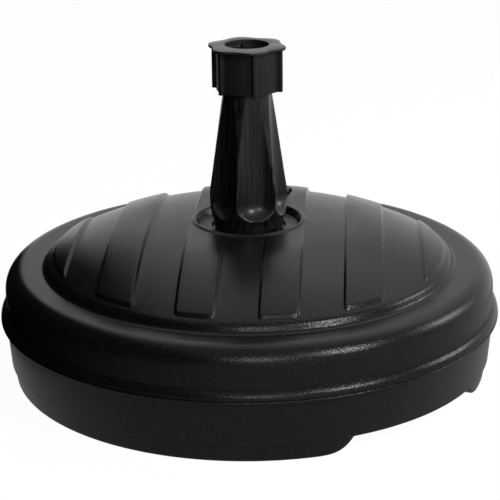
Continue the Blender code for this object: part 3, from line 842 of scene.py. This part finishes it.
# Clamp nut. A hand nut in satin black plastic: a hexagon with a rib down each corner for grip, and a
# thin lobed plate on top with a round hole for the pole. It screws onto the stem's neck.
NUT_FOOT = 0.2557
NUT_TOP = 0.2963
NUT_PLATE_EDGE = 0.2955
NUT_PLATE_FOOT = 0.2928
NUT_SHOULDER = 0.2920
NUT_BORE = 0.0244
NUT_TURN = radians(15.5)
FLAT_END = 0.0256
FLAT_MIDDLE = 0.0275
FLAT_ROUND = 0.070
RIB_RADIUS = 0.0323
RIB_HALF = 0.0020
RIB_ROUND = 0.0012
RIB_ROOT_ROUND = 0.0006
LOBE_RADIUS = 0.0328
LOBE_WAVE = 0.0021
HOLE_RADIUS = 0.0194
HOLE_ROUND = 0.0005
nut_turns = NUT_TURN + even_turns(144)


def nut_outline(inset):
    """The hexagon with its full flats and corner ribs, drawn in by an inset."""
    half = RIB_HALF - inset
    root = (FLAT_END - inset - half * sin(pi / 6)) / cos(pi / 6)
    tip = RIB_RADIUS - inset
    rib = ((root, -half, RIB_ROOT_ROUND), (tip, -half, RIB_ROUND - inset),
           (tip, half, RIB_ROUND - inset), (root, half, RIB_ROOT_ROUND))
    corners = []
    for k in range(6):
        out = Vector(around(1.0, NUT_TURN + k * pi / 3))
        side = Vector((-out.y, out.x))
        corners += [(*(out * reach + side * offset), fillet) for reach, offset, fillet in rib]
        flat_turn = NUT_TURN + (k + 0.5) * pi / 3
        corners.append((*around(FLAT_MIDDLE - inset, flat_turn), FLAT_ROUND))
    return rounded(corners, True, radians(8))


def lobed(inset):
    wave = LOBE_WAVE * np.cos(6 * (nut_turns - NUT_TURN))
    return circle(LOBE_RADIUS - inset + wave, nut_turns)


bore = circle(NUT_BORE, nut_turns)
hole = circle(HOLE_RADIUS, nut_turns)
hole_edge = circle(HOLE_RADIUS + HOLE_ROUND, nut_turns)
nut_wall = stacked([
    (nut_outline(0.0007), NUT_FOOT),
    (nut_outline(0.0002), NUT_FOOT + 0.0002),
    (nut_outline(0.0), NUT_FOOT + 0.0008),
    (nut_outline(0.0), NUT_PLATE_FOOT),
])
nut_plate = stacked([
    (lobed(0.0006), NUT_PLATE_FOOT),
    (lobed(0.0001), NUT_PLATE_FOOT + 0.0003),
    (lobed(0.0), NUT_PLATE_FOOT + 0.0008),
    (lobed(0.0), NUT_PLATE_EDGE - 0.0006),
    (lobed(0.0002), NUT_PLATE_EDGE - 0.0002),
    (lobed(0.0008), NUT_PLATE_EDGE),
    (hole_edge, NUT_TOP),
])
nut_inside = stacked([
    (hole_edge, NUT_TOP),
    (circle(HOLE_RADIUS + 0.0001, nut_turns), NUT_TOP - 0.0002),
    (hole, NUT_TOP - 0.0006),
    (hole, NUT_SHOULDER),
    (bore, NUT_SHOULDER),
    (bore, NUT_FOOT),
])
nut_parts = [nut_wall, plan_sheet(lobed(0.0006), [nut_outline(0.0)], NUT_PLATE_FOOT), nut_plate,
             nut_inside, plan_sheet(nut_outline(0.0007), [bore], NUT_FOOT)]
add_piece("hand_nut", nut_parts, satin_plastic, "nut", "clamp_nut", radians(40))

# Cap seal. A flat ring moulded in black rubber with soft edges. It lies on the filler's seat and is
# squeezed by the cap. Heights here and for the cap are along the filler's axis.
SEAL_INNER = 0.0255
SEAL_OUTER = 0.0305
SEAL_FOOT = -0.0012
SEAL_TOP = 0.0008
SEAL_ROUND = 0.0005
seal_outline = rounded([
    (SEAL_INNER, SEAL_FOOT, SEAL_ROUND),
    (SEAL_INNER, SEAL_TOP, SEAL_ROUND),
    (SEAL_OUTER, SEAL_TOP, SEAL_ROUND),
    (SEAL_OUTER, SEAL_FOOT, SEAL_ROUND),
], True)
points, faces = rings(np.vstack((seal_outline, seal_outline[:1])), seat_turns)
seal_rubber = moulded_plastic(
    "matt_black_rubber", cells=2200.0, depth=0.0002, strength=0.2, rough=(0.62, 0.74),
    steep_rough=0.74, shades=((0.012, 0.012, 0.012), (0.020, 0.020, 0.020)), specular=0.30)
add_piece("rubber_seal", [(in_filler_frame(points), faces)], seal_rubber, "cap_ring", "cap_seal")

# Filler cap. A screw cap in matt black plastic with a knurled skirt, a hollow plug in the neck and a
# grip bar across its top. It is turned by hand and closes the tank behind the stem.
CAP_RADIUS = 0.0338
CAP_TOP = 0.0056
CAP_FOOT = -0.0012
SKIRT_INNER = 0.0313
CAP_UNDER = 0.0011
PLUG_OUTER = 0.0234
PLUG_INNER = 0.0204
PLUG_END = -0.0074
PLUG_TOP = 0.0021
KNURLS = 60
KNURL_DEPTH = 0.0004
KNURL_EDGE = CAP_RADIUS - 0.0012
GRIP_HALF_LENGTH = 0.0230
GRIP_HALF_WIDTH = 0.0035
GRIP_CORNER = 0.0020
GRIP_ROUND = 0.0016
GRIP_TOP = 0.0126
cap_turns = even_turns(KNURLS * 6)
knurl = KNURL_DEPTH * (0.5 - 0.5 * np.cos(KNURLS * cap_turns))
cap_outline = rounded([
    (0.0, CAP_TOP + 0.0006),
    (0.0203, CAP_TOP + 0.0003),
    (CAP_RADIUS, CAP_TOP - 0.0003, 0.0016),
    (CAP_RADIUS, CAP_FOOT, 0.0005),
    (SKIRT_INNER, CAP_FOOT),
    (SKIRT_INNER, CAP_UNDER),
    (PLUG_OUTER, CAP_UNDER),
    (PLUG_OUTER, PLUG_END, 0.0008),
    (PLUG_INNER, PLUG_END),
    (PLUG_INNER, PLUG_TOP),
    (0.0, PLUG_TOP),
])
cap_rows = []
for radius, height in cap_outline:
    knurled = radius > KNURL_EDGE and height > CAP_FOOT
    cap_rows.append((radius - knurl if knurled else radius, height))
cap_points, cap_faces = rings(cap_rows, cap_turns)


def grip_outline(inset):
    x, y = GRIP_HALF_LENGTH - inset, GRIP_HALF_WIDTH - inset
    bend = GRIP_CORNER - inset * 0.9
    return rounded([(-x, -y, bend), (x, -y, bend), (x, y, bend), (-x, y, bend)], True)


grip_side = GRIP_TOP - GRIP_ROUND
grip_stack = [(grip_outline(-0.0008), CAP_TOP - 0.0004), (grip_outline(-0.0002), CAP_TOP + 0.0012),
              (grip_outline(0.0), grip_side)]
for bend in np.linspace(0.0, pi / 2, 6)[1:]:
    inset = GRIP_ROUND * (1 - cos(bend))
    grip_stack.append((grip_outline(inset), grip_side + GRIP_ROUND * sin(bend)))
grip_points, grip_faces = stacked(grip_stack)
last = len(grip_points)
per_ring = len(grip_stack[0][0])
grip_faces += [tuple(range(last - per_ring, last)), tuple(reversed(range(per_ring)))]
cap_parts = [(in_filler_frame(cap_points), cap_faces), (in_filler_frame(grip_points), grip_faces)]
cap_plastic = moulded_plastic(
    "matt_black_cap", cells=1400.0, depth=0.0002, strength=0.16, rough=(0.42, 0.52),
    steep_rough=0.56, shades=satin_shades, specular=0.14)
add_piece("screw_cap", cap_parts, cap_plastic, "cap", "filler_cap", radians(35))

# Floor, studio light and camera. A plain pale floor that runs out to white, four soft boxes (from the
# right, the front, the back right and above the back), a black cloth screen on the left, and a long
# lens. None of these is part of the object.
FLOOR_HALF = 6.0
FLOOR_WHITE_SHARE = 0.97
SKY_STRENGTH = 0.10
SCREEN_FRONT = (-0.08, -0.95)
SCREEN_BACK = (-0.36, 0.5)
SCREEN_HEIGHT = 0.5
LAMP_AIM = (0.0, 0.0, 0.12)
CAMERA_PLACE = (0.0903, -1.4472, 0.6109)
CAMERA_PITCH = radians(19.1619)
CAMERA_TURN = radians(3.5328)
CAMERA_ROLL = radians(-0.5911)
FOCAL_PIXELS = 1697.97
IMAGE_PIXELS = 500.0
SENSOR = 36.0


def staged_sheet(name, corners, material):
    mesh = bpy.data.meshes.new(name)
    mesh.from_pydata(corners, [], [(0, 1, 2, 3)])
    mesh.materials.append(material)
    sheet = bpy.data.objects.new(name, mesh)
    bpy.context.scene.collection.objects.link(sheet)
    return sheet


def shows_background(tree):
    """A mask of the rays that see the background: from the camera, off gloss or through glass."""
    rays = add_node(tree, "ShaderNodeLightPath")
    mask = rays.outputs["Is Camera Ray"]
    for kind in ("Is Glossy Ray", "Is Transmission Ray"):
        mask = add_node(tree, "ShaderNodeMath", {"operation": "MAXIMUM"}, in0=mask,
                        in1=rays.outputs[kind]).outputs[0]
    return mask


floor_paint, tree, shader = new_material("pale_floor")
shader.inputs["Base Color"].default_value = (0.90, 0.90, 0.90, 1.0)
shader.inputs["Roughness"].default_value = 0.9
shader.inputs["Specular IOR Level"].default_value = 0.0
glow = add_node(tree, "ShaderNodeEmission", Strength=1.0)
white_share = add_node(tree, "ShaderNodeMath", {"operation": "MULTIPLY"},
                       in0=shows_background(tree), in1=FLOOR_WHITE_SHARE)
paint = add_node(tree, "ShaderNodeMixShader", in0=white_share.outputs[0], in1=shader.outputs[0],
                 in2=glow.outputs[0])
tree.links.new(paint.outputs[0], tree.nodes["Material Output"].inputs["Surface"])
staged_sheet("floor", [(x * FLOOR_HALF, y * FLOOR_HALF, 0.0) for x, y in
                       ((-1, -1), (1, -1), (1, 1), (-1, 1))], floor_paint)

world = bpy.data.worlds.new("studio")
bpy.context.scene.world = world
world.use_nodes = True
tree = world.node_tree
sky = tree.nodes["Background"]
sky.inputs["Color"].default_value = (1.0, 1.0, 1.0, 1.0)
sky.inputs["Strength"].default_value = SKY_STRENGTH
white = add_node(tree, "ShaderNodeBackground", Color=(1.0, 1.0, 1.0, 1.0), Strength=1.0)
backdrop = add_node(tree, "ShaderNodeMixShader", in0=shows_background(tree), in1=sky.outputs[0],
                    in2=white.outputs[0])
tree.links.new(backdrop.outputs[0], tree.nodes["World Output"].inputs["Surface"])


def soft_box(name, place, size, power):
    lamp = bpy.data.lights.new(name, "AREA")
    lamp.shape = "RECTANGLE"
    lamp.size, lamp.size_y = size
    lamp.energy = power
    holder = bpy.data.objects.new(name, lamp)
    holder.location = place
    aim = Vector(LAMP_AIM) - Vector(place)
    holder.rotation_euler = aim.to_track_quat("-Z", "Y").to_euler()
    bpy.context.scene.collection.objects.link(holder)


soft_box("key_right", (1.10, -0.92, 1.20), (0.24, 0.24), 30.0)
soft_box("front", (0.24, -1.70, 1.15), (0.18, 0.18), 14.0)
soft_box("back_right", (1.45, 0.44, 0.85), (0.36, 0.36), 11.0)
soft_box("back_top", (0.28, 0.85, 1.60), (1.8, 1.4), 11.0)

# The screen is out of the camera's sight, and only shows as black in the gloss of the left side
black_cloth, tree, shader = new_material("black_cloth")
shader.inputs["Base Color"].default_value = (0.01, 0.01, 0.01, 1.0)
shader.inputs["Specular IOR Level"].default_value = 0.0
screen = staged_sheet("dark_screen", [(*SCREEN_FRONT, 0.0), (*SCREEN_BACK, 0.0),
                                      (*SCREEN_BACK, SCREEN_HEIGHT),
                                      (*SCREEN_FRONT, SCREEN_HEIGHT)], black_cloth)
screen.visible_camera = False

lens = bpy.data.cameras.new("camera")
lens.sensor_width = SENSOR
lens.lens = FOCAL_PIXELS / IMAGE_PIXELS * SENSOR
camera = bpy.data.objects.new("camera", lens)
camera.matrix_world = (Matrix.Translation(CAMERA_PLACE) @ Matrix.Rotation(CAMERA_TURN, 4, "Z")
                       @ Matrix.Rotation(pi / 2 - CAMERA_PITCH, 4, "X")
                       @ Matrix.Rotation(CAMERA_ROLL, 4, "Z"))
bpy.context.scene.collection.objects.link(camera)
bpy.context.scene.camera = camera
bpy.context.scene.view_settings.view_transform = "Standard"
